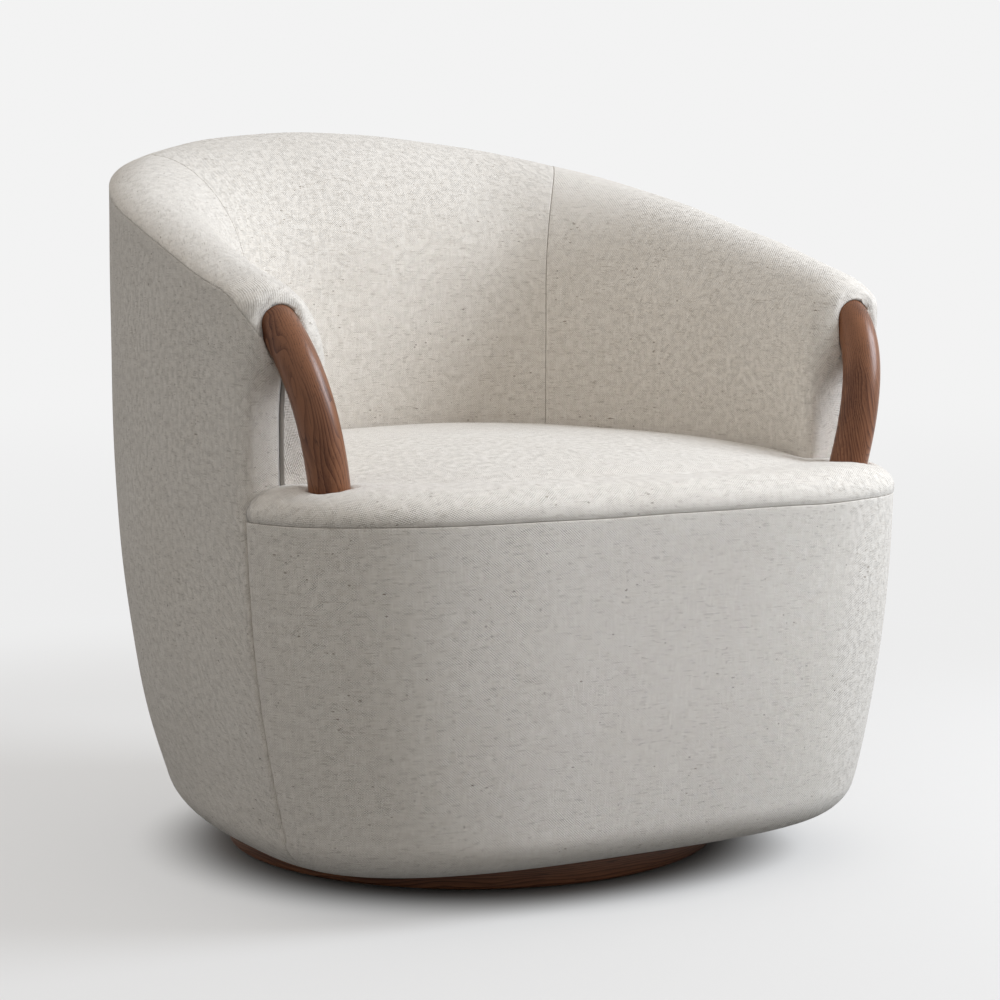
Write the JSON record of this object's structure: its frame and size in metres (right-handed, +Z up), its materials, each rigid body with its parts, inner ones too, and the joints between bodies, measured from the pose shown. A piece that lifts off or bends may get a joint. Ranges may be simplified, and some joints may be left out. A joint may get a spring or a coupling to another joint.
{
  "type": "swivel barrel chair",
  "caption": "Upholstered barrel armchair with a continuous curved back and arms, bent wooden arm fronts and a round wooden swivel plinth.",
  "frame": {"origin": "on the floor, on the swivel's vertical axis, which is also the middle of the chair's footprint at rest", "axes": "+Z up, +X to the viewer's right when the viewer looks at the chair's front, and the chair faces -Y"},
  "size_m": [0.75, 0.7343, 0.764],
  "materials": {
    "linen": "chunky oatmeal linen weave",
    "walnut": "satin oiled walnut",
    "plywood": "sanded birch plywood",
    "hardwood": "sawn beech",
    "steel": "zinc plated",
    "black_steel": "black enamel",
    "nylon": "natural nylon",
    "felt": "pressed felt",
    "cambric": "black non-woven dust cloth",
    "glide": "dark felt-faced plastic"
  },
  "bodies": {
    "base": {"plinth_ring": "walnut", "plinth_board": "plywood", "floor_glide_1": "glide", "floor_glide_2": "glide", "floor_glide_3": "glide", "floor_glide_4": "glide", "swivel_lower_plate": "steel", "swivel_pin": "steel", "plate_screw_1": "steel", "plate_screw_2": "steel", "plate_screw_3": "steel", "plate_screw_4": "steel"},
    "ball_race": {"ball_cage": "nylon", "bearing_ball_1": "steel", "bearing_ball_2": "steel", "bearing_ball_3": "steel", "bearing_ball_4": "steel", "bearing_ball_5": "steel", "bearing_ball_6": "steel"},
    "chair": {"swivel_upper_plate": "black_steel", "plate_bolt_1": "black_steel", "plate_bolt_2": "black_steel", "plate_bolt_3": "black_steel", "plate_bolt_4": "black_steel", "base_board": "plywood", "dust_cover": "cambric", "shell_frame": "plywood", "front_panel": "plywood", "seat_rail_right": "hardwood", "seat_rail_left": "hardwood", "seat_rail_rear": "hardwood", "seat_rail_front": "hardwood", "corner_block_left": "hardwood", "corner_block_right": "hardwood", "seat_spring_1": "black_steel", "spring_clip_front_1": "steel", "spring_clip_rear_1": "steel", "seat_spring_2": "black_steel", "spring_clip_front_2": "steel", "spring_clip_rear_2": "steel", "seat_spring_3": "black_steel", "spring_clip_front_3": "steel", "spring_clip_rear_3": "steel", "seat_spring_4": "black_steel", "spring_clip_front_4": "steel", "spring_clip_rear_4": "steel", "arm_left": "walnut", "arm_right": "walnut", "arm_block_left": "hardwood", "arm_block_right": "hardwood", "arm_bolt_left": "steel", "arm_bolt_right": "steel", "outer_panel": "linen", "inner_pad_right": "linen", "inner_pad_left": "linen", "inner_pad_back": "linen", "seat_apron": "linen", "deck_pad": "felt", "seat_cushion": "linen"}
  },
  "joints": [
    {"name": "swivel", "type": "hinge", "parent": "base", "child": "chair", "pos_m": [0, 0, 0.04], "axis": [0, 0, 1], "continuous": true},
    {"name": "race_turn", "type": "hinge", "parent": "base", "child": "ball_race", "pos_m": [0, 0, 0.032], "axis": [0, 0, 1], "continuous": true}
  ],
  "couplings": [
    {"joint": "race_turn", "follows": "swivel", "ratio": 0.5}
  ]
}
